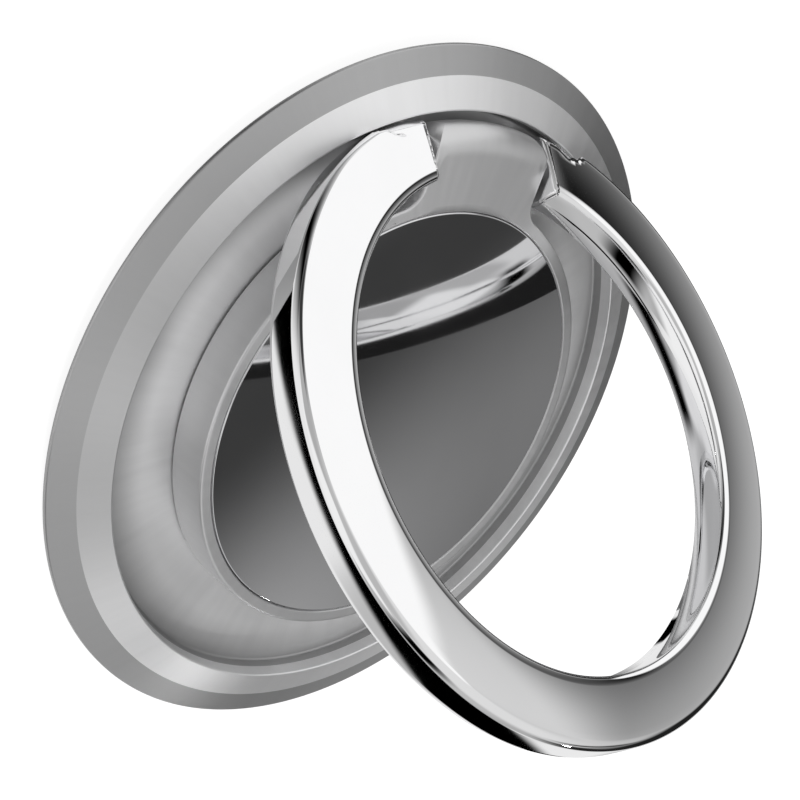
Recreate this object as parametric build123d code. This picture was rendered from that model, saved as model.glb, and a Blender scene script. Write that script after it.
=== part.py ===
from build123d import *
from math import sqrt
import os

# Stick-on ring holder: a dished plate, a turning hub with a polished inlay,
# and a finger ring hinged on the hub's lug. Sizes are millimetres.
# The back of the adhesive pad lies on Z = 0, the hub turns about Z,
# and the hinge pin runs along X on the +Y side.
# Widths add up outwards: hub, gap, folded ring, gap, flange, to a plate 40 across.

# Dished plate
flange_width = 3.1          # from the recess to the plate's edge
plate_floor = 0.58          # thickness of the recess floor
flange_edge = 0.5           # from the plate's back to the flange's outer front edge
flange_land = 0.21          # straight wall at the flange's outer edge
flange_rise = 1.3           # the flange climbs this much towards the recess
underside_bevel = 0.55      # width of the bevel behind the outer edge
recess_draft = 0.25         # the recess wall leans in by this much
recess_corner = 0.12        # narrow bevel where wall and floor meet
flange_edge_break = 0.06    # broken outer edge
recess_edge_break = 0.12    # broken inner edge

# Adhesive pad
pad_thickness = 0.5
pad_margin = 1.5            # pad edge inside the plate edge

# Hub
hub_diameter = 25.3
hub_height = 2.52
hub_rim = 0.7               # wall round the inlay
hub_web = 0.6               # thickness of the hub's own floor
inlay_ledge = 1.35          # ledge width under the inlay
lug_width = 8.3
lug_clearance = 0.5         # lug end to the recess wall at the flange's edge
lug_corner = 1.0            # round of the lug's outer corners, seen from the front
lug_root = 0.8              # concave round where the lug leaves the hub
hub_edge = 0.12             # broken edge along the front of hub and lug

# Inlay
inlay_thickness = 0.55
inlay_fit = 0.05            # radial clearance round the inlay
glue_thickness = 0.1
glue_margin = 0.2
inlay_bevel = 0.06

# Centre joint
rivet_diameter = 4.0
rivet_head_diameter = 6.4
rivet_head_back = 0.25
rivet_head_front = 0.35
rivet_seat = 0.02           # radial clearance in the plate
rivet_running = 0.06        # radial clearance in the hub
glide_margin = 3.65         # glide washer's edge inside the hub's edge
glide_thickness = 0.1
glide_bore_clearance = 0.3
spring_diameter = 11.0
spring_thickness = 0.2
spring_rise = 0.35          # height of the spring's cone
spring_lift = 0.02          # clearance under the spring's rim
thrust_diameter = 7.6
thrust_thickness = 0.2
washer_bore_clearance = 0.05

# Hinge
pin_diameter = 1.0
pin_drop = 0.1              # pin centre below the hub's mid-height
pin_setback = 2.1           # pin centre inside the lug's end
pin_engagement = 1.5        # length of pin in each ring end
pin_end_gap = 0.1           # space past each pin end
pin_chamfer = 0.1
pin_seat = 0.02             # radial clearance in the lug
pin_running = 0.04          # radial clearance in the ring
hinge_gap = 0.25            # lug side to ring end
hinge_washer_diameter = 1.8
hinge_washer_thickness = 0.2
knuckle_gap = 0.1           # ring ends to the recess floor as the ring swings
sweep_gap = 0.12            # ring ends to the flange's inner edge as the ring swings

# Finger ring
opening_angle = 45.0        # ring swung out from its folded place
full_opening = 80.0         # the furthest it swings, until its heels meet the flange
ring_width = 3.53           # back edge of the bore to the outer wall
ring_inner_gap = 0.54       # back edge of the bore to the hub
ring_outer_gap = 0.18       # outer wall to the flange's inner edge
ring_proud = 0.08           # folded ring's front edge above the hub
ring_lift = 0.56            # folded ring's back edge of the bore above the recess floor
ring_bore_draft = 0.2       # the bore opens by this much towards the front
ring_face_fall = 0.13       # the front face falls by this much outwards
ring_back_fall = 0.32       # the back face falls by this much outwards
ring_front_round = 0.5      # outer front edge, rounded in three facets
ring_back_bevel = 0.3       # outer back edge
ring_wall_lean = 0.04       # outer wall leans in by this much towards the back
ring_bore_bevel = 0.26      # bevel along the bore's front edge
ring_bevel_fall = 0.02      # the bevel's outer edge below the bore's front
ring_bore_back_bevel = 0.2
ring_end_outer_corner = 0.45
ring_end_inner_corner = 0.35
ring_end_trim = 0.03        # the rounded ends are cut this far outside the walls

# Heights, counted from the back of the pad
plate_back = pad_thickness
floor_top = plate_back + plate_floor
flange_edge_top = plate_back + flange_edge
flange_top = flange_edge_top + flange_rise
hub_bottom = floor_top + glide_thickness
hub_top = hub_bottom + hub_height
web_top = hub_bottom + hub_web
inlay_bottom = hub_top - inlay_thickness
glue_bottom = inlay_bottom - glue_thickness
spring_bottom = web_top + spring_lift
thrust_bottom = spring_bottom + spring_rise + spring_thickness
rivet_head_bottom = thrust_bottom + thrust_thickness
rivet_top = rivet_head_bottom + rivet_head_front
pin_z = hub_bottom + hub_height / 2 - pin_drop
knuckle_reach = pin_z - floor_top - knuckle_gap
ring_back = floor_top + ring_lift
ring_outer_back = ring_back - ring_back_fall
ring_front = hub_top + ring_proud
ring_outer_front = ring_front - ring_face_fall

# Radii, from the hub outwards
hub_radius = hub_diameter / 2
ring_bore_back = hub_radius + ring_inner_gap
ring_bore_front = ring_bore_back + ring_bore_draft
ring_radius = ring_bore_back + ring_width
recess_radius = ring_radius + ring_outer_gap
recess_floor_radius = recess_radius - recess_draft
plate_radius = recess_radius + flange_width
lug_radius = recess_radius - lug_clearance

# Radii inside the hub
seat_radius = hub_radius - hub_rim
inlay_radius = seat_radius - inlay_fit
cavity_radius = seat_radius - inlay_ledge
glide_radius = hub_radius - glide_margin
rivet_radius = rivet_diameter / 2
rivet_head_radius = rivet_head_diameter / 2

# Hinge line
pin_radius = pin_diameter / 2
pin_y = lug_radius - pin_setback
lug_side = lug_width / 2
ring_end = lug_side + hinge_gap

hinge_axis = Axis((0, pin_y, pin_z), (-1, 0, 0))


def turned(*points):
    """A solid of revolution from (radius, height) points."""
    outline = Polyline(*[(r, 0, z) for r, z in points], close=True)
    return revolve(make_face(outline), Axis.Z, 360)


def edges_at(shape, radius, height):
    """The circular edges about Z with this radius and height."""
    circles = shape.edges().filter_by(GeomType.CIRCLE)
    return circles.filter_by(
        lambda e: abs(e.radius - radius) < 1e-4 and abs(e.center().Z - height) < 1e-4)


def ring_disc(outer, inner, bottom, thickness):
    """A flat washer lying on the height bottom."""
    top = bottom + thickness
    return turned((inner, bottom), (outer, bottom), (outer, top), (inner, top))


def along_x(radius, start, end):
    """A cylinder on the hinge line from X = start to X = end."""
    middle = Pos((start + end) / 2, pin_y, pin_z) * Rot(0, 90, 0)
    return middle * Cylinder(radius, end - start)


def make_adhesive_pad():
    return Cylinder(plate_radius - pad_margin, pad_thickness, align=(Align.CENTER, Align.CENTER, Align.MIN))


def make_base_plate():
    bore = rivet_radius + rivet_seat
    plate = turned(
        (bore, plate_back),
        (plate_radius - underside_bevel, plate_back),
        (plate_radius, flange_edge_top - flange_land),
        (plate_radius, flange_edge_top - flange_edge_break),
        (plate_radius - flange_edge_break, flange_edge_top),
        (recess_radius + recess_edge_break, flange_top),
        (recess_radius, flange_top - recess_edge_break),
        (recess_floor_radius, floor_top),
        (bore, floor_top),
    )
    plate = chamfer(edges_at(plate, recess_floor_radius, floor_top), recess_corner)
    head_seat = ring_disc(rivet_head_radius + rivet_seat, 0, plate_back, rivet_head_back)
    return plate - head_seat


def make_pivot_rivet():
    return turned(
        (0, plate_back),
        (rivet_head_radius, plate_back),
        (rivet_head_radius, plate_back + rivet_head_back),
        (rivet_radius, plate_back + rivet_head_back),
        (rivet_radius, rivet_head_bottom),
        (rivet_head_radius, rivet_head_bottom),
        (rivet_head_radius, rivet_top - rivet_head_front / 2),
        (rivet_head_radius - rivet_head_front / 2, rivet_top),
        (0, rivet_top),
    )


def make_glide_washer():
    return ring_disc(glide_radius, rivet_radius + glide_bore_clearance, floor_top, glide_thickness)


def make_disc_spring():
    bore = rivet_radius + washer_bore_clearance
    rim = spring_diameter / 2
    return turned(
        (rim, spring_bottom),
        (rim, spring_bottom + spring_thickness),
        (bore, spring_bottom + spring_rise + spring_thickness),
        (bore, spring_bottom + spring_rise),
    )


def make_thrust_washer():
    bore = rivet_radius + washer_bore_clearance
    return ring_disc(thrust_diameter / 2, bore, thrust_bottom, thrust_thickness)


def hub_outline():
    """Round hub with its lug, seen from the front, with rounded corners and roots."""
    lug = Pos(0, lug_radius / 2) * Rectangle(lug_width, lug_radius)
    lug = lug & Circle(lug_radius)
    outline = Sketch() + (Circle(hub_radius) + lug)
    outer = outline.vertices().filter_by(lambda v: v.Y > hub_radius)
    outline = fillet(outer, lug_corner)
    roots = outline.vertices().filter_by(lambda v: abs(abs(v.X) - lug_side) < 1e-4)
    roots = roots.sort_by(Axis.Y)[:2]
    return fillet(roots, lug_root)


def make_hub():
    blank = Pos(0, 0, hub_bottom) * extrude(hub_outline(), hub_height)
    front = blank.faces().sort_by(Axis.Z)[-1]
    blank = chamfer(front.edges(), hub_edge)
    nose = hub_height / 2
    low = (lug_radius - nose, 0, hub_bottom)
    high = (lug_radius - nose, 0, hub_top)
    tip = (lug_radius, 0, hub_bottom + nose)
    flat = Polyline(low, (0, 0, hub_bottom), (0, 0, hub_top), high)
    envelope = make_face(flat + ThreePointArc(high, tip, low))
    body = blank & revolve(envelope, Axis.Z, 360)
    hollow = turned(
        (0, web_top), (cavity_radius, web_top), (cavity_radius, glue_bottom), (seat_radius, glue_bottom),
        (seat_radius, 2 * hub_top), (0, 2 * hub_top),
    )
    pivot_bore = Pos(0, 0, hub_bottom) * Cylinder(rivet_radius + rivet_running, 3 * hub_web)
    return body - hollow - pivot_bore - along_x(pin_radius + pin_seat, -lug_width, lug_width)


def make_inlay_glue():
    return ring_disc(inlay_radius - glue_margin, cavity_radius + glue_margin, glue_bottom, glue_thickness)


def make_mirror_inlay():
    return turned(
        (0, inlay_bottom), (inlay_radius, inlay_bottom), (inlay_radius, hub_top - inlay_bevel),
        (inlay_radius - inlay_bevel, hub_top), (0, hub_top),
    )


def make_hinge_pin():
    half = ring_end + pin_engagement
    pin = along_x(pin_radius, -half, half)
    return chamfer(pin.edges().filter_by(GeomType.CIRCLE), pin_chamfer)


def make_hinge_washer(side):
    near = lug_side if side > 0 else -lug_side - hinge_washer_thickness
    far = near + hinge_washer_thickness
    return along_x(hinge_washer_diameter / 2, near, far) - along_x(pin_radius + pin_seat, near, far)


def ring_hoop():
    """The finger ring before its ends are cut: bevelled bore, falling face, rounded outside."""
    wall_back = ring_radius - ring_wall_lean
    shoulder = ring_front_round * (1 - sqrt(0.5))
    hoop = turned(
        (ring_bore_back + ring_bore_back_bevel, ring_back),
        (wall_back, ring_outer_back),
        (ring_radius, ring_outer_front - ring_front_round),
        (ring_radius - shoulder, ring_outer_front - shoulder),
        (ring_radius - ring_front_round, ring_outer_front),
        (ring_bore_front + ring_bore_bevel, ring_front - ring_bevel_fall),
        (ring_bore_front, ring_front - ring_bore_bevel),
        (ring_bore_back, ring_back + ring_bore_back_bevel),
    )
    return chamfer(edges_at(hoop, wall_back, ring_outer_back), ring_back_bevel)


def ring_outline():
    """The open ring seen from the front, with rounded corners at both ends."""
    outer, inner = ring_radius + ring_end_trim, ring_bore_back - ring_end_trim
    slot = Pos(0, ring_radius) * Rectangle(2 * ring_end, 2 * ring_radius)
    outline = Circle(outer) - Circle(inner) - slot
    outline = fillet(outline.vertices().sort_by(Axis.Y)[-2:], ring_end_outer_corner)
    inner_y = sqrt(inner**2 - ring_end**2)
    inner_corners = outline.vertices().filter_by(lambda v: abs(v.Y - inner_y) < 1e-3)
    return fillet(inner_corners, ring_end_inner_corner)


def swing_waste():
    """What the ring ends lose beyond the pin, to clear the recess floor and the flange."""
    reach = recess_radius - sweep_gap
    half = sqrt(reach**2 - pin_y**2)
    width, depth = 2 * half, recess_radius - pin_y
    chord = Line((-half, pin_y, pin_z), (half, pin_y, pin_z))
    edge = ThreePointArc((half, pin_y, pin_z), (0, reach, pin_z), (-half, pin_y, pin_z))
    passing_edge = revolve(make_face(chord + edge), hinge_axis, 360)
    pin_place = Pos(0, pin_y, pin_z)
    beyond = pin_place * Box(width, depth, 2 * hub_height, align=(Align.CENTER, Align.MIN, Align.CENTER))
    front = pin_place * Box(width, depth, hub_height, align=(Align.CENTER, Align.MIN, Align.MIN))
    heel = pin_place * Box(width, 2 * knuckle_reach, hub_height, align=(Align.CENTER, Align.CENTER, Align.MIN))
    heel = heel.rotate(hinge_axis, 90 - full_opening)
    under_flange = turned(
        (0, -hub_height), (plate_radius, -hub_height), (plate_radius, flange_edge_top + sweep_gap),
        (recess_radius, flange_top + sweep_gap), (0, flange_top + sweep_gap),
    )
    under_flange = under_flange.rotate(hinge_axis, -full_opening)
    floor_waste = beyond - along_x(knuckle_reach, -half, half) - heel
    return floor_waste + ((front & under_flange) - passing_edge)


def make_finger_ring():
    """The ring is cut folded, then swung open about the pin."""
    ring = ring_hoop() & (Pos(0, 0, plate_back) * extrude(ring_outline(), hub_top))
    ring -= swing_waste()
    bore_end = ring_end + pin_engagement + pin_end_gap
    ring -= along_x(pin_radius + pin_running, -bore_end, bore_end)
    return ring.rotate(hinge_axis, opening_angle)


parts = {
    "adhesive_pad": make_adhesive_pad(),
    "base_plate": make_base_plate(),
    "pivot_rivet": make_pivot_rivet(),
    "glide_washer": make_glide_washer(),
    "disc_spring": make_disc_spring(),
    "thrust_washer": make_thrust_washer(),
    "hub": make_hub(),
    "inlay_glue": make_inlay_glue(),
    "mirror_inlay": make_mirror_inlay(),
    "hinge_pin": make_hinge_pin(),
    "hinge_washer_left": make_hinge_washer(-1),
    "hinge_washer_right": make_hinge_washer(1),
    "finger_ring": make_finger_ring(),
}

os.makedirs("parts", exist_ok=True)
for name, shape in parts.items():
    export_step(shape, f"parts/{name}.step")
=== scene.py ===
import math

import bmesh
import bpy
from mathutils import Matrix, Vector


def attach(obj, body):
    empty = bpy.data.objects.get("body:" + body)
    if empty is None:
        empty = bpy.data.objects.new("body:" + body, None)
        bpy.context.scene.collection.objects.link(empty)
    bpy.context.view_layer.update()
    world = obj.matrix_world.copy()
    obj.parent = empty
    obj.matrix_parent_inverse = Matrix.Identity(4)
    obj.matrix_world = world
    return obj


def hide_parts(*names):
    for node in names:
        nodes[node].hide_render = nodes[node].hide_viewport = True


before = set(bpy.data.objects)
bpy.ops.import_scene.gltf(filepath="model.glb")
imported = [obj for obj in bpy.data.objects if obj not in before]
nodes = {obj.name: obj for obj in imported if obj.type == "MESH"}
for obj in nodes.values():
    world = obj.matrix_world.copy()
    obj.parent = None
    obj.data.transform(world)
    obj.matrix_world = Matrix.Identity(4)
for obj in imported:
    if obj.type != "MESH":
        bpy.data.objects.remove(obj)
bpy.context.view_layer.update()
scene = bpy.context.scene
mm = 0.001
print("frame loaded,", len(nodes), "nodes")


# Camera, fitted to the photograph
camera = {
    "lens": 104.07,
    "sensor": 36.0,
    "place": (-87.52, 39.38, 80.32),     # millimetres
    "right": (0.7002, 0.3388, 0.6285),
    "forward": (0.7138, -0.3132, -0.6264),
}


def makeCamera(spec):
    data = bpy.data.cameras.new("camera")
    data.lens = spec["lens"]
    data.sensor_width = spec["sensor"]
    data.clip_start = 0.005
    data.clip_end = 20.0
    forward = Vector(spec["forward"]).normalized()
    right = Vector(spec["right"])
    right = (right - right.dot(forward) * forward).normalized()
    up = right.cross(forward)
    turn = Matrix((right, up, -forward)).transposed()
    holder = bpy.data.objects.new("camera", data)
    holder.matrix_world = Matrix.Translation(Vector(spec["place"]) * mm) @ turn.to_4x4()
    scene.collection.objects.link(holder)
    scene.camera = holder


makeCamera(camera)
scene.view_settings.view_transform = "Standard"
print("camera placed")


# Shader node groups, shared by the materials
def groupWith(name, inputs, outputs):
    group = bpy.data.node_groups.new(name, "ShaderNodeTree")
    for label, kind, value in inputs:
        socket = group.interface.new_socket(name=label, in_out="INPUT", socket_type=kind)
        if value is not None:
            socket.default_value = value
    for label, kind in outputs:
        group.interface.new_socket(name=label, in_out="OUTPUT", socket_type=kind)
    return group, group.nodes.new("NodeGroupInput"), group.nodes.new("NodeGroupOutput")


def addNode(tree, kind, inputs=(), **settings):
    node = tree.nodes.new(kind)
    for key, value in settings.items():
        setattr(node, key, value)
    for key, value in dict(inputs).items():
        if isinstance(value, bpy.types.NodeSocket):
            tree.links.new(value, node.inputs[key])
        else:
            node.inputs[key].default_value = value
    return node


def math2(tree, operation, first, second=0.0):
    return addNode(tree, "ShaderNodeMath", {0: first, 1: second}, operation=operation).outputs[0]


# Marks of the lathe and polishing wheel, and painted shade on the flange's -X side and on the outer recess floor, in
# metres
latheMarksAndShade = {
    "rise": 160.0,                  # turns streaks into short arcs
    "paintedSideShadeFrom": (0.7, 1.0),         # share of -X where painted shade darkens the flange
    "paintedFloorShadeFrom": (0.0142, 0.0166),   # radii between which painted shade darkens the recess floor
    # height below which the recess floor gets painted shade, and above which the flange's painted side shade applies
    "paintedFloorShadeTop": 0.0016,
}


def makeTurnedFinishAndShade(p):
    group, source, sink = groupWith("turnedFinishAndShade", [
        ("Position", "NodeSocketVector", None),
        ("Rings", "NodeSocketFloat", 2500.0),
        ("Streaks", "NodeSocketFloat", 26.0),
    ], [(label, "NodeSocketFloat") for label in ("Grain", "Streak", "PaintedSideShade", "PaintedFloorShade")])
    parts = addNode(group, "ShaderNodeSeparateXYZ", {0: source.outputs["Position"]})
    radius = addNode(group, "ShaderNodeVectorMath", {0: addNode(group, "ShaderNodeCombineXYZ", {
        0: parts.outputs[0], 1: parts.outputs[1]}).outputs[0]}, operation="LENGTH").outputs["Value"]
    ringLine = addNode(group, "ShaderNodeCombineXYZ", {0: math2(group, "MULTIPLY", radius, source.outputs["Rings"])})
    grain = addNode(group, "ShaderNodeTexNoise", {"Vector": ringLine.outputs[0], "Scale": 1.0, "Detail": 3.0})
    heading = addNode(group, "ShaderNodeVectorMath", {0: addNode(group, "ShaderNodeCombineXYZ", {
        0: parts.outputs[0], 1: parts.outputs[1]}).outputs[0]}, operation="NORMALIZE").outputs[0]
    around = addNode(group, "ShaderNodeVectorMath", {0: heading, "Scale": source.outputs["Streaks"]},
                     operation="SCALE").outputs[0]
    lifted = addNode(group, "ShaderNodeVectorMath", {0: around, 1: addNode(group, "ShaderNodeCombineXYZ", {
        2: math2(group, "MULTIPLY", radius, p["rise"])}).outputs[0]}, operation="ADD").outputs[0]
    streak = addNode(group, "ShaderNodeTexNoise", {"Vector": lifted, "Scale": 1.0, "Detail": 4.0})
    # Painted shade: this mask darkens the flange's -X side, the side that the light leaves darker
    sideways = math2(group, "MULTIPLY", addNode(group, "ShaderNodeSeparateXYZ", {0: heading}).outputs[0], -1.0)
    paintedSideShade = addNode(group, "ShaderNodeMapRange", {"Value": sideways, "From Min": p["paintedSideShadeFrom"][0],
                                                 "From Max": p["paintedSideShadeFrom"][1]}, interpolation_type="SMOOTHSTEP")
    # Painted shade: this mask darkens the outer recess floor near the wall, where shade falls
    outer = addNode(group, "ShaderNodeMapRange", {"Value": radius, "From Min": p["paintedFloorShadeFrom"][0],
                                                  "From Max": p["paintedFloorShadeFrom"][1]}, interpolation_type="SMOOTHSTEP")
    low = math2(group, "LESS_THAN", parts.outputs[2], p["paintedFloorShadeTop"])
    group.links.new(grain.outputs[0], sink.inputs["Grain"])
    group.links.new(streak.outputs[0], sink.inputs["Streak"])
    group.links.new(math2(group, "MULTIPLY", paintedSideShade.outputs[0], math2(group, "SUBTRACT", 1.0, low)), sink.inputs["PaintedSideShade"])
    group.links.new(math2(group, "MULTIPLY", outer.outputs[0], low), sink.inputs["PaintedFloorShade"])
    return group


def makeFineWear():
    group, source, sink = groupWith("fineWear", [
        ("Position", "NodeSocketVector", None),
        ("Scale", "NodeSocketFloat", 400.0),
        ("Low", "NodeSocketFloat", 0.02),
        ("High", "NodeSocketFloat", 0.05),
    ], [("Value", "NodeSocketFloat"), ("Noise", "NodeSocketFloat")])
    noise = addNode(group, "ShaderNodeTexNoise", {"Vector": source.outputs["Position"],
                                                  "Scale": source.outputs["Scale"], "Detail": 4.0})
    spread = addNode(group, "ShaderNodeMapRange", {"Value": noise.outputs[0], "From Min": 0.3, "From Max": 0.7,
                                                   "To Min": source.outputs["Low"], "To Max": source.outputs["High"]})
    group.links.new(spread.outputs[0], sink.inputs["Value"])
    group.links.new(noise.outputs[0], sink.inputs["Noise"])
    return group


turnedFinishAndShade = makeTurnedFinishAndShade(latheMarksAndShade)
fineWear = makeFineWear()


# Materials
def newMaterial(name, color, metallic, roughness):
    mat = bpy.data.materials.new(name)
    mat.use_nodes = True
    shader = mat.node_tree.nodes["Principled BSDF"]
    shader.inputs["Base Color"].default_value = (*color, 1)
    shader.inputs["Metallic"].default_value = metallic
    shader.inputs["Roughness"].default_value = roughness
    return mat


def placeGroup(mat, group, inputs):
    tree = mat.node_tree
    where = addNode(tree, "ShaderNodeTexCoord").outputs["Object"]
    node = addNode(tree, "ShaderNodeGroup", node_tree=group)
    tree.links.new(where, node.inputs["Position"])
    for key, value in inputs.items():
        node.inputs[key].default_value = value
    return node


def tintBy(mat, mask, low, high, dark, light):
    tree = mat.node_tree
    ramp = addNode(tree, "ShaderNodeMapRange", {"Value": mask, "From Min": low, "From Max": high})
    mix = addNode(tree, "ShaderNodeMix", {"Factor": ramp.outputs[0]}, data_type="RGBA")
    mix.inputs[6].default_value = (*dark, 1)
    mix.inputs[7].default_value = (*light, 1)
    tree.links.new(mix.outputs[2], tree.nodes["Principled BSDF"].inputs["Base Color"])


def bumpBy(mat, height, distance, strength=1.0):
    tree = mat.node_tree
    bump = addNode(tree, "ShaderNodeBump", {"Height": height, "Distance": distance, "Strength": strength})
    tree.links.new(bump.outputs[0], tree.nodes["Principled BSDF"].inputs["Normal"])


def wearMaterial(name, color, metallic, scale, low, high, shade=0.94, bump=0.0):
    mat = newMaterial(name, color, metallic, (low + high) / 2)
    wear = placeGroup(mat, fineWear, {"Scale": scale, "Low": low, "High": high})
    mat.node_tree.links.new(wear.outputs["Value"], mat.node_tree.nodes["Principled BSDF"].inputs["Roughness"])
    tintBy(mat, wear.outputs["Noise"], 0.3, 0.7, [c * shade for c in color], color)
    if bump:
        bumpBy(mat, wear.outputs["Noise"], bump)
    return mat


satin = {
    # The last two numbers of each tone set how deep the painted shade goes on the flange's -X side and on the outer
    # recess floor
    "plate": {"light": (0.97, 0.97, 0.975), "dark": (0.93, 0.93, 0.935), "paintedSideShade": 0.38, "paintedFloorShade": 0.5},
    "hub": {"light": (0.71, 0.71, 0.715), "dark": (0.68, 0.68, 0.685), "paintedSideShade": 0.0, "paintedFloorShade": 0.0},
    "metal": 0.8,
    "roughLow": 0.31,
    "roughHigh": 0.37,
    "anisotropy": 0.75,
    "turn": 0.25,
    "groove": 0.0000025,
}


def makeSatin(name, p, tone):
    mat = newMaterial(name, tone["light"], p["metal"], 0.34)
    tree = mat.node_tree
    shader = tree.nodes["Principled BSDF"]
    finishAndShade = placeGroup(mat, turnedFinishAndShade, {"Rings": 2500.0, "Streaks": 26.0})
    rough = addNode(tree, "ShaderNodeMapRange", {"Value": finishAndShade.outputs["Streak"], "From Min": 0.3, "From Max": 0.7,
                                                 "To Min": p["roughLow"], "To Max": p["roughHigh"]})
    tree.links.new(rough.outputs[0], shader.inputs["Roughness"])
    streak = addNode(tree, "ShaderNodeMapRange", {"Value": finishAndShade.outputs["Streak"], "From Min": 0.3, "From Max": 0.7})
    color = addNode(tree, "ShaderNodeMix", {0: streak.outputs[0], 6: (*tone["dark"], 1), 7: (*tone["light"], 1)},
                    data_type="RGBA").outputs[2]
    # Painted shade: darkens the base colour on the flange's -X side and on the outer recess floor
    for label, depth in (("PaintedSideShade", tone["paintedSideShade"]), ("PaintedFloorShade", tone["paintedFloorShade"])):
        amount = math2(tree, "MULTIPLY", finishAndShade.outputs[label], depth)
        color = addNode(tree, "ShaderNodeMix", {0: amount, 6: color, 7: (0, 0, 0, 1)}, data_type="RGBA").outputs[2]
    tree.links.new(color, shader.inputs["Base Color"])
    bumpBy(mat, finishAndShade.outputs["Grain"], p["groove"])
    shader.inputs["Anisotropic"].default_value = p["anisotropy"]
    shader.inputs["Anisotropic Rotation"].default_value = p["turn"]
    tangent = addNode(tree, "ShaderNodeTangent", direction_type="RADIAL", axis="Z")
    tree.links.new(tangent.outputs[0], shader.inputs["Tangent"])
    return mat


satinPlate = makeSatin("satinPlate", satin, satin["plate"])
satinHub = makeSatin("satinHub", satin, satin["hub"])
ringChrome = wearMaterial("ringChrome", (0.93, 0.93, 0.935), 1.0, 300.0, 0.015, 0.04, 0.985)
polishedInlay = wearMaterial("polishedInlay", (0.8, 0.8, 0.81), 1.0, 220.0, 0.02, 0.045, 0.96)
plainSteel = wearMaterial("plainSteel", (0.62, 0.62, 0.63), 1.0, 900.0, 0.22, 0.4, 0.88, 0.000002)
foamPad = wearMaterial("foamPad", (0.075, 0.075, 0.08), 0.0, 2600.0, 0.8, 0.95, 0.6, 0.00004)
glidePlastic = wearMaterial("glidePlastic", (0.88, 0.88, 0.86), 0.0, 700.0, 0.4, 0.55, 0.95, 0.000004)
glueFilm = wearMaterial("glueFilm", (0.8, 0.8, 0.78), 0.0, 500.0, 0.3, 0.5, 0.93, 0.000004)
print("materials ready")


# Mesh helpers, in millimetres until the piece is finished
def spunProfile(points, steps, closed=True):
    bm = bmesh.new()
    line = [bm.verts.new((r, 0, z)) for r, z in points]
    ends = line[1:] + line[:1] if closed else line[1:]
    edges = [bm.edges.new(pair) for pair in zip(line, ends)]
    bmesh.ops.spin(bm, geom=line + edges, cent=(0, 0, 0), axis=(0, 0, 1), dvec=(0, 0, 0),
                   angle=2 * math.pi, steps=steps, use_merge=False, use_duplicate=False)
    bmesh.ops.remove_doubles(bm, verts=bm.verts, dist=1e-4)
    return bm


def softenCircle(bm, radius, height, width, segments=3):
    near = lambda v: abs(math.hypot(v.co.x, v.co.y) - radius) < 1e-3 and abs(v.co.z - height) < 1e-3
    edges = [e for e in bm.edges if all(near(v) for v in e.verts)]
    bmesh.ops.bevel(bm, geom=edges, offset=width, offset_type="OFFSET", affect="EDGES",
                    segments=segments, profile=0.5, material=-1)


def finishPiece(name, bm, material, body, replaced):
    bmesh.ops.remove_doubles(bm, verts=bm.verts, dist=1e-4)
    bmesh.ops.recalc_face_normals(bm, faces=bm.faces)
    bmesh.ops.scale(bm, vec=(mm, mm, mm), verts=bm.verts)
    mesh = bpy.data.meshes.new(name)
    bm.to_mesh(mesh)
    bm.free()
    mesh.polygons.foreach_set("use_smooth", [True] * len(mesh.polygons))
    mesh.materials.append(material)
    piece = bpy.data.objects.new(name, mesh)
    scene.collection.objects.link(piece)
    weigh = piece.modifiers.new("faceNormals", "WEIGHTED_NORMAL")
    weigh.weight = 100
    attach(piece, body)
    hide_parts(replaced)
    print(name, len(mesh.polygons), "faces")
    return piece


# Dished plate
plate = {
    "steps": 360,
    "bore": 2.02,
    "back": 0.5,
    "floor": 1.08,
    "edgeTop": 1.0,
    "edgeLand": 0.21,
    "top": 2.3,
    "outer": 20.0,
    "underside": 0.55,
    "wallTop": 16.9,
    "wallFoot": 16.65,
    "innerBevel": 0.12,
    "rimBevel": 0.07,
}


def makePlate(p):
    bm = spunProfile([
        (p["bore"], p["back"]), (p["outer"] - p["underside"], p["back"]),
        (p["outer"], p["edgeTop"] - p["edgeLand"]), (p["outer"], p["edgeTop"]),
        (p["wallTop"], p["top"]), (p["wallFoot"], p["floor"]), (p["bore"], p["floor"]),
    ], p["steps"])
    softenCircle(bm, p["wallTop"], p["top"], p["innerBevel"])
    softenCircle(bm, p["outer"], p["edgeTop"], p["rimBevel"])
    softenCircle(bm, p["wallFoot"], p["floor"], p["innerBevel"])
    finishPiece("dishedPlate", bm, satinPlate, "base", "base_plate")


makePlate(plate)


# Hub with its lug
hub = {
    "radius": 12.65,
    "bottom": 1.18,
    "top": 3.70,
    "seat": 11.95,
    "seatFloor": 3.05,
    "cavity": 10.6,
    "web": 1.78,
    "bore": 2.06,
    "edge": 0.14,
    "lugSide": 4.15,
    "lugEnd": 16.4,
    "lugCorner": 1.0,
    "lugRoot": 0.8,
    "steps": 720,
    "inner": 0.45,        # inset up to which loops follow the outline
    "lip": 0.06,          # bevel round the inlay's seat
    "loops": 16,
    "lugSpan": 26.0,      # degrees each way where the lug changes the outline
}


# Distance outside the collar joined to its lug, negative inside, seen from the front
def lugDistance(p, x, y):
    radius = math.hypot(x, y)
    disc = radius - p["radius"]
    if y < 0:
        return disc
    c = p["lugCorner"]
    u, v = abs(x) - p["lugSide"] + c, radius - p["lugEnd"] + c
    lug = min(max(u, v), 0) + math.hypot(max(u, 0), max(v, 0)) - c
    root = p["lugRoot"]
    return max(root, min(disc, lug)) - math.hypot(max(root - disc, 0), max(root - lug, 0))


# Radius at which that outline, moved in by the inset, lies at an angle from +Y
def lugReach(p, angle, inset):
    low, high = p["seat"] - 1, p["lugEnd"] + 1
    for _ in range(30):
        middle = (low + high) / 2
        if lugDistance(p, middle * math.sin(angle), middle * math.cos(angle)) < -inset:
            low = middle
        else:
            high = middle
    return low


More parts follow.
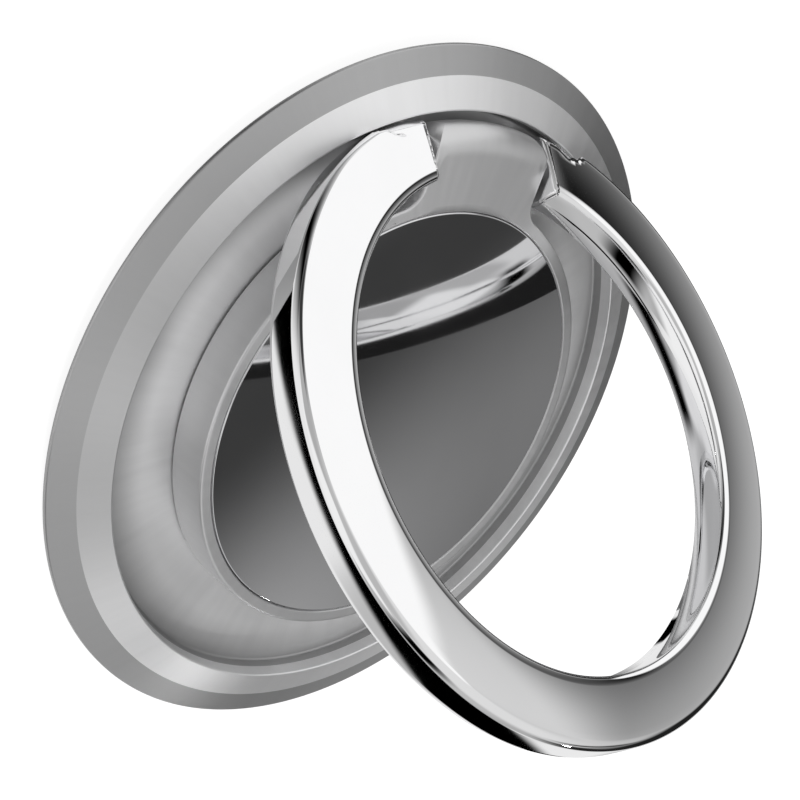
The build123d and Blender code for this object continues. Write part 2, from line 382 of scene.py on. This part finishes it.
def makeHub(p):
    middle, half = (p["top"] + p["bottom"]) / 2, (p["top"] - p["bottom"]) / 2
    edge, seatLip, blend = p["edge"], p["seat"] + p["lip"], p["radius"] - p["inner"]
    ease = [edge * (1 - math.cos(math.pi * k / 10)) for k in range(6)]
    drop = [edge * (1 - math.sin(math.pi * k / 10)) for k in range(6)]
    front = [(seatLip + (blend - seatLip) * k / p["loops"], 0) for k in range(p["loops"] + 1)]
    front += [(p["radius"] - i, 0) for i in (0.33, 0.22)]
    front += [(p["radius"] - i, d) for i, d in zip(ease[::-1], drop[::-1])]
    outline = [(p["seat"], p["seatFloor"]), (p["seat"], p["top"] - p["lip"])]
    outline += [(r, p["top"] - d) for r, d in front]
    outline += [(r, p["bottom"] + d) for r, d in front[::-1]]
    outline += [(p["bore"], p["bottom"]), (p["bore"], p["web"]), (p["cavity"], p["web"]), (p["cavity"], p["seatFloor"])]
    bm = spunProfile(outline, p["steps"])
    for v in bm.verts:
        r, angle = math.hypot(v.co.x, v.co.y), math.atan2(v.co.x, v.co.y)
        if abs(angle) > math.radians(p["lugSpan"]) or r < seatLip + 1e-6:
            continue
        if r <= blend:
            share = (r - seatLip) / (blend - seatLip)
            share = share * (1.6 - 0.6 * share)
            far = seatLip + (lugReach(p, angle, p["inner"]) - seatLip) * share
        else:
            far = lugReach(p, angle, p["radius"] - r)
        over = max(far - (p["lugEnd"] - half), 0)
        limit = math.sqrt(max(half * half - over * over, 0))
        rise = v.co.z - middle
        rise = math.copysign(min(abs(rise), limit), rise)
        v.co = Vector((far * math.sin(angle), far * math.cos(angle), middle + rise))
    finishPiece("turningHub", bm, satinHub, "hub", "hub")


makeHub(hub)


# Polished inlay
inlay = {"steps": 360, "radius": 11.9, "bottom": 3.15, "top": 3.70, "bevel": 0.07}


def makeInlay(p):
    bm = spunProfile([(0, p["bottom"]), (p["radius"], p["bottom"]), (p["radius"], p["top"]), (0, p["top"])],
                     p["steps"], closed=False)
    softenCircle(bm, p["radius"], p["top"], p["bevel"], 2)
    finishPiece("polishedInlay", bm, polishedInlay, "hub", "mirror_inlay")


makeInlay(inlay)


# Finger ring, modelled folded and then opened about the pin
ring = {
    "steps": 400,
    "boreFront": 13.1,       # radii and heights, as folded into the recess
    "boreBack": 13.03,
    "outer": 16.72,
    "wallLean": 0.05,
    "front": 3.78,
    "frontOuter": 3.65,
    "back": 1.64,
    "backOuter": 1.32,
    "frontRound": 0.5,
    "backRound": 0.4,
    "boreBevel": 0.24,
    "bevelDrop": 0.2,
    "backBevel": 0.2,
    "crown": 0.03,           # the face swells, so that it shades off
    "end": 4.4,
    "endBevel": 0.26,
    "endSegments": 3,
    "endLoops": 12,
    "plainFrom": 26.0,       # degrees from the lug where the plain spin starts
    "pinY": 14.3,            # middle of the hinge pin
    "pinZ": 2.34,
    "open": 45.0,            # as in the photograph
    "fullOpen": 80.0,
    "shoulder": 0.8,         # cut off the front edge beside the lug
    "shoulderSpan": (6.4, 8.4),
    "smoothing": 6,
    "wallLoops": 16,
    "faceLoops": 10,
    "barrel": 0.004,
    "kneeReach": 1.14,       # clear of the plate's floor while it swings
    "flangeReach": 16.74,    # clear of the flange's inner edge
    "flangeTop": 2.4,
    "flangeFall": 0.42,
    "slant": 135.0,          # way out of the flange, in and up
    "slantReach": 1.5,
}


def roundedCorner(before, corner, after, radius, segments):
    a = (Vector(before) - Vector(corner)).normalized()
    b = (Vector(after) - Vector(corner)).normalized()
    half = a.angle(b) / 2
    middle = Vector(corner) + (a + b).normalized() * radius / math.sin(half)
    start = Vector(corner) + a * radius / math.tan(half) - middle
    end = Vector(corner) + b * radius / math.tan(half) - middle
    sweep = start.angle_signed(end)
    points = []
    for k in range(segments + 1):
        turn = Matrix.Rotation(-sweep * k / segments, 2)
        points.append(tuple(middle + turn @ start))
    return points


def divided(start, end, count):
    return [tuple(a + (b - a) * k / count for a, b in zip(start, end)) for k in range(count)]


# The front edge near each end is cut back, fading out along the ring
def easeShoulder(p, v):
    near, far = p["shoulderSpan"]
    share = max(min((far - abs(v.co.x)) / (far - near), 1), 0)
    cut = p["shoulder"] * share * share * (3 - 2 * share)
    r = math.hypot(v.co.x, v.co.y)
    over = (r - p["outer"]) + (v.co.z - p["front"]) + cut
    if cut > 0 and over > 0:
        v.co.y -= over / 2 * r / v.co.y
        v.co.z -= over / 2


# Would this point, given from the pin, run into the plate's flange when fully open?
def meetsFlange(p, x, y, z):
    reach, bearing = math.hypot(y, z), math.atan2(z, y) - math.radians(p["fullOpen"])
    lastY, lastZ = p["pinY"] + reach * math.cos(bearing), p["pinZ"] + reach * math.sin(bearing)
    if p["pinY"] + reach < math.sqrt(p["flangeReach"] ** 2 - x ** 2):
        return False
    return lastZ < p["flangeTop"] - p["flangeFall"] * (math.hypot(x, lastY) - p["flangeReach"])


# Keeps a point clear of the recess floor and the flange through the whole swing
def clearOfSwing(p, v):
    y, z = v.co.y - p["pinY"], v.co.z - p["pinZ"]
    reach, bearing, full = math.hypot(y, z), math.atan2(z, y), math.radians(p["fullOpen"])
    if not -math.pi / 2 < bearing < full:
        return
    if bearing < full - math.pi / 2:
        reach = min(reach, p["kneeReach"])
    else:
        reach = min(reach, p["kneeReach"] / math.sin(max(full - bearing, 1e-3)))
    y, z = reach * math.cos(bearing), reach * math.sin(bearing)
    if bearing > 0 and meetsFlange(p, v.co.x, y, z):
        slant = full + math.radians(p["slant"])
        low, high = 0.0, p["slantReach"]
        for _ in range(16):
            middle = (low + high) / 2
            if meetsFlange(p, v.co.x, y + middle * math.cos(slant), z + middle * math.sin(slant)):
                low = middle
            else:
                high = middle
        y, z = y + high * math.cos(slant), z + high * math.sin(slant)
    v.co.y, v.co.z = p["pinY"] + y, p["pinZ"] + z


def makeRing(p):
    boreLow = (p["boreBack"], p["back"] + p["backBevel"])
    backIn = (p["boreBack"] + p["backBevel"], p["back"])
    backOut = (p["outer"] - p["wallLean"], p["backOuter"])
    frontOut = (p["outer"], p["frontOuter"])
    frontIn = (p["boreFront"] + p["boreBevel"], p["front"] - 0.02)
    bevelMiddle = (p["boreFront"] + p["boreBevel"] * 0.4, p["front"] - p["bevelDrop"] * 0.36)
    boreTop = (p["boreFront"], p["front"] - p["bevelDrop"])
    backCorner = roundedCorner(backIn, backOut, frontOut, p["backRound"], 8)
    frontCorner = roundedCorner(backOut, frontOut, frontIn, p["frontRound"], 10)
    section = [boreLow] + divided(backIn, backCorner[0], 7) + backCorner
    wall = divided(backCorner[-1], frontCorner[0], p["wallLoops"])
    section += [(r + p["barrel"] * 4 * t * (1 - t), z)
                for t, (r, z) in ((k / p["wallLoops"], wall[k]) for k in range(1, p["wallLoops"]))]
    section += frontCorner[:-1]
    face = divided(frontCorner[-1], frontIn, p["faceLoops"])
    section += [(r, z + p["crown"] * 4 * t * (1 - t))
                for t, (r, z) in ((k / p["faceLoops"], face[k]) for k in range(p["faceLoops"]))]
    section += [frontIn, bevelMiddle, boreTop]
    bm = bmesh.new()
    first = math.radians(p["plainFrom"])
    line = [bm.verts.new((r * math.sin(first), r * math.cos(first), z)) for r, z in section]
    edges = [bm.edges.new(pair) for pair in zip(line, line[1:] + line[:1])]
    spun = bmesh.ops.spin(bm, geom=line + edges, cent=(0, 0, 0), axis=(0, 0, 1), dvec=(0, 0, 0),
                          angle=-(2 * math.pi - 2 * first), steps=p["steps"], use_merge=False, use_duplicate=False)
    lastEdges = [g for g in spun["geom_last"] if isinstance(g, bmesh.types.BMEdge)]
    for side, rim in ((1, edges), (-1, lastEdges)):
        for share in [k / p["endLoops"] for k in range(1, p["endLoops"] + 1)]:
            grown = bmesh.ops.extrude_edge_only(bm, edges=rim)["geom"]
            rim = [g for g in grown if isinstance(g, bmesh.types.BMEdge)]
            for v in [g for g in grown if isinstance(g, bmesh.types.BMVert)]:
                r = math.hypot(v.co.x, v.co.y)
                angle = first + (math.asin(p["end"] / r) - first) * share
                v.co.x, v.co.y = side * r * math.sin(angle), r * math.cos(angle)
        bmesh.ops.edgeloop_fill(bm, edges=rim)
        bmesh.ops.bevel(bm, geom=rim, offset=p["endBevel"], offset_type="OFFSET", affect="EDGES",
                        segments=p["endSegments"], profile=0.5, material=-1, clamp_overlap=False)
    eased = []
    for v in bm.verts:
        if v.co.y > 0 and abs(v.co.x) < p["outer"] / 1.5:
            before = v.co.copy()
            easeShoulder(p, v)
            clearOfSwing(p, v)
            if (v.co - before).length > 1e-4:
                eased.append(v)
    for _ in range(p["smoothing"]):
        bmesh.ops.smooth_vert(bm, verts=eased, factor=0.5, use_axis_x=False, use_axis_y=True, use_axis_z=True)
    for v in eased * 2:
        clearOfSwing(p, v)
    opened = Matrix.Translation((0, p["pinY"], p["pinZ"])) @ Matrix.Rotation(-math.radians(p["open"]), 4, "X") \
        @ Matrix.Translation((0, -p["pinY"], -p["pinZ"]))
    bmesh.ops.transform(bm, matrix=opened, verts=bm.verts)
    finishPiece("fingerRing", bm, ringChrome, "ring", "finger_ring")


makeRing(ring)


# CAD pieces that keep their own mesh
kept = {
    "adhesive_pad": foamPad, "pivot_rivet": plainSteel, "glide_washer": glidePlastic,
    "disc_spring": plainSteel, "thrust_washer": plainSteel, "inlay_glue": glueFilm,
    "hinge_pin": plainSteel, "hinge_washer_left": plainSteel, "hinge_washer_right": plainSteel,
}
for name, material in kept.items():
    for holder in nodes[name].material_slots:
        holder.material = material
print("small parts finished")


# Studio: soft panels around a grey room, given by direction, and a white floor
studio = {
    "room": 0.44,
    "under": 0.86,
    "hoop": (134.4, 2.1, 0.8, 0.0),      # angle from the open ring's axis, half width, soft edge, brightness
    # azimuth, elevation, roll, half width, half height, soft width, soft height in degrees, and brightness
    "panels": {
        "lowScreen": (116, -36, 0, 24, 36, 44, 24, 0.0),
        "lowWall": (18, -24, 0, 42, 20, 20, 10, 0.03),
        "overhead": (-2, 88, -2, 48.5, 43.5, 39, 42, 0.76),
        "darkWall": (-23.5, 16, 3, 36, 19, 15, 10, 0.015),
        "wallGlow": (-32.5, 31.8, 30, 9.6, 1.8, 14, 8, 0.18),
        "wallTop": (-26.8, 42, -12, 16, 4, 14, 6.7, 0.05),
        "darkEdge": (40.1, 13.2, 5.6, 8.3, 19, 17, 35, 0.0),
        "paleGap": (39.5, 32.4, -57, 14.4, 8.2, 30.7, 4.9, 0.68),
        "tallWindow": (65.9, 14, -10, 24.8, 39.5, 2, 13.4, 1.02),
        "darkPost": (108.5, 8.4, 0, 12, 14.4, 8.3, 10.4, 0.04),
        "backWindow": (-169, 15.5, 1.6, 28.3, 25, 12, 10.5, 0.92),
        "greyScreen": (-105.5, 12.1, 0, 24.7, 26.2, 15.9, 16, 0.52),
        "sideScreen": (-118, 28, 20, 11, 24, 14, 12, 0.0),
        "cameraScreen": (160.4, 56.2, 0, 28.7, 17.6, 16.2, 13.9, 0.51),
    },
}


def makePanelMask():
    numbers = ("Inner Width", "Outer Width", "Inner Height", "Outer Height")
    group, source, sink = groupWith("panelMask", [
        (label, "NodeSocketVector", None) for label in ("Direction", "Middle", "Side", "Rise")
    ] + [(label, "NodeSocketFloat", None) for label in numbers], [("Mask", "NodeSocketFloat")])
    dots = [addNode(group, "ShaderNodeVectorMath", {0: source.outputs["Direction"], 1: source.outputs[label]},
                    operation="DOT_PRODUCT").outputs["Value"] for label in ("Middle", "Side", "Rise")]
    masks = []
    for dot, inner, outer in ((dots[1], *numbers[:2]), (dots[2], *numbers[2:])):
        away = math2(group, "ABSOLUTE", math2(group, "ARCTAN2", dot, dots[0]))
        masks.append(addNode(group, "ShaderNodeMapRange", {
            "Value": away, "From Min": source.outputs[inner], "From Max": source.outputs[outer],
            "To Min": 1.0, "To Max": 0.0}, interpolation_type="SMOOTHSTEP").outputs[0])
    group.links.new(math2(group, "MULTIPLY", *masks), sink.inputs["Mask"])
    return group


def makeWorld(p):
    world = bpy.data.worlds.new("studio")
    world.use_nodes = True
    tree = world.node_tree
    panelMask = makePanelMask()
    toward = addNode(tree, "ShaderNodeTexCoord").outputs["Generated"]
    height = addNode(tree, "ShaderNodeSeparateXYZ", {0: toward}).outputs[2]
    ground = addNode(tree, "ShaderNodeMapRange", {"Value": height, "From Min": -0.05, "From Max": 0.02},
                     interpolation_type="SMOOTHSTEP").outputs[0]
    level = addNode(tree, "ShaderNodeMix", {0: ground, 2: p["under"], 3: p["room"]}, data_type="FLOAT").outputs[0]
    for azimuth, elevation, roll, width, height, softWidth, softHeight, bright in p["panels"].values():
        a, e, turn = (math.radians(v) for v in (azimuth, elevation, roll))
        middle = Vector((math.cos(e) * math.cos(a), math.cos(e) * math.sin(a), math.sin(e)))
        side = Vector((-math.sin(a), math.cos(a), 0))
        rise = middle.cross(side)
        mask = addNode(tree, "ShaderNodeGroup", node_tree=panelMask)
        tree.links.new(toward, mask.inputs["Direction"])
        mask.inputs["Middle"].default_value = middle
        mask.inputs["Side"].default_value = math.cos(turn) * side + math.sin(turn) * rise
        mask.inputs["Rise"].default_value = math.cos(turn) * rise - math.sin(turn) * side
        for label, size, soft in (("Width", width, softWidth), ("Height", height, softHeight)):
            mask.inputs["Inner " + label].default_value = math.radians(size - soft / 2)
            mask.inputs["Outer " + label].default_value = math.radians(size + soft / 2)
        level = addNode(tree, "ShaderNodeMix", {0: mask.outputs[0], 2: level, 3: bright}, data_type="FLOAT").outputs[0]
    angle, half, soft, bright = p["hoop"]
    along = addNode(tree, "ShaderNodeVectorMath", {0: toward, 1: (0, math.sqrt(0.5), math.sqrt(0.5))},
                    operation="DOT_PRODUCT").outputs["Value"]
    off = math2(tree, "ABSOLUTE", math2(tree, "SUBTRACT", math2(tree, "ARCCOSINE", along), math.radians(angle)))
    band = addNode(tree, "ShaderNodeMapRange", {
        "Value": off, "From Min": math.radians(half - soft / 2), "From Max": math.radians(half + soft / 2),
        "To Min": 1.0, "To Max": 0.0}, interpolation_type="SMOOTHSTEP").outputs[0]
    level = addNode(tree, "ShaderNodeMix", {0: band, 2: level, 3: bright}, data_type="FLOAT").outputs[0]
    seen = addNode(tree, "ShaderNodeLightPath").outputs["Is Camera Ray"]
    final = addNode(tree, "ShaderNodeMix", {0: seen, 2: level, 3: 1.0}, data_type="FLOAT")
    tree.links.new(final.outputs[0], tree.nodes["Background"].inputs["Strength"])
    tree.nodes["Background"].inputs["Color"].default_value = (1, 1, 1, 1)
    scene.world = world


floorLook = {"halfSize": 0.6, "base": 0.26, "cameraWhite": 0.88}


def makeFloor(p):
    bm = bmesh.new()
    bmesh.ops.create_grid(bm, x_segments=1, y_segments=1, size=p["halfSize"])
    mesh = bpy.data.meshes.new("floor")
    bm.to_mesh(mesh)
    bm.free()
    floor = bpy.data.objects.new("floor", mesh)
    scene.collection.objects.link(floor)
    floor.visible_glossy = False         # chrome sees the room through it
    mat = newMaterial("floor", (p["base"],) * 3, 0.0, 0.9)
    tree = mat.node_tree
    shader = tree.nodes["Principled BSDF"]
    shader.inputs["Specular IOR Level"].default_value = 0.0
    shader.inputs["Emission Color"].default_value = (1, 1, 1, 1)
    seen = addNode(tree, "ShaderNodeLightPath").outputs["Is Camera Ray"]
    tree.links.new(math2(tree, "MULTIPLY", seen, p["cameraWhite"]), shader.inputs["Emission Strength"])
    mat.cycles.emission_sampling = "NONE"
    mesh.materials.append(mat)


lamps = {
    "softLamp": {"energy": 1.2, "size": 30, "azimuth": -120, "elevation": 58, "inChrome": False},
    "lowLamp": {"energy": 0.065, "size": 3, "azimuth": -54, "elevation": 25, "inChrome": True},
}


def makeLamp(name, p):
    data = bpy.data.lights.new(name, "SUN")
    data.energy = p["energy"]
    data.angle = math.radians(p["size"])
    lamp = bpy.data.objects.new(name, data)
    lamp.rotation_euler = (0, math.radians(90 - p["elevation"]), math.radians(p["azimuth"]))
    lamp.visible_glossy = p["inChrome"]
    scene.collection.objects.link(lamp)


makeWorld(studio)
makeFloor(floorLook)
for name, spec in lamps.items():
    makeLamp(name, spec)
print("studio ready")
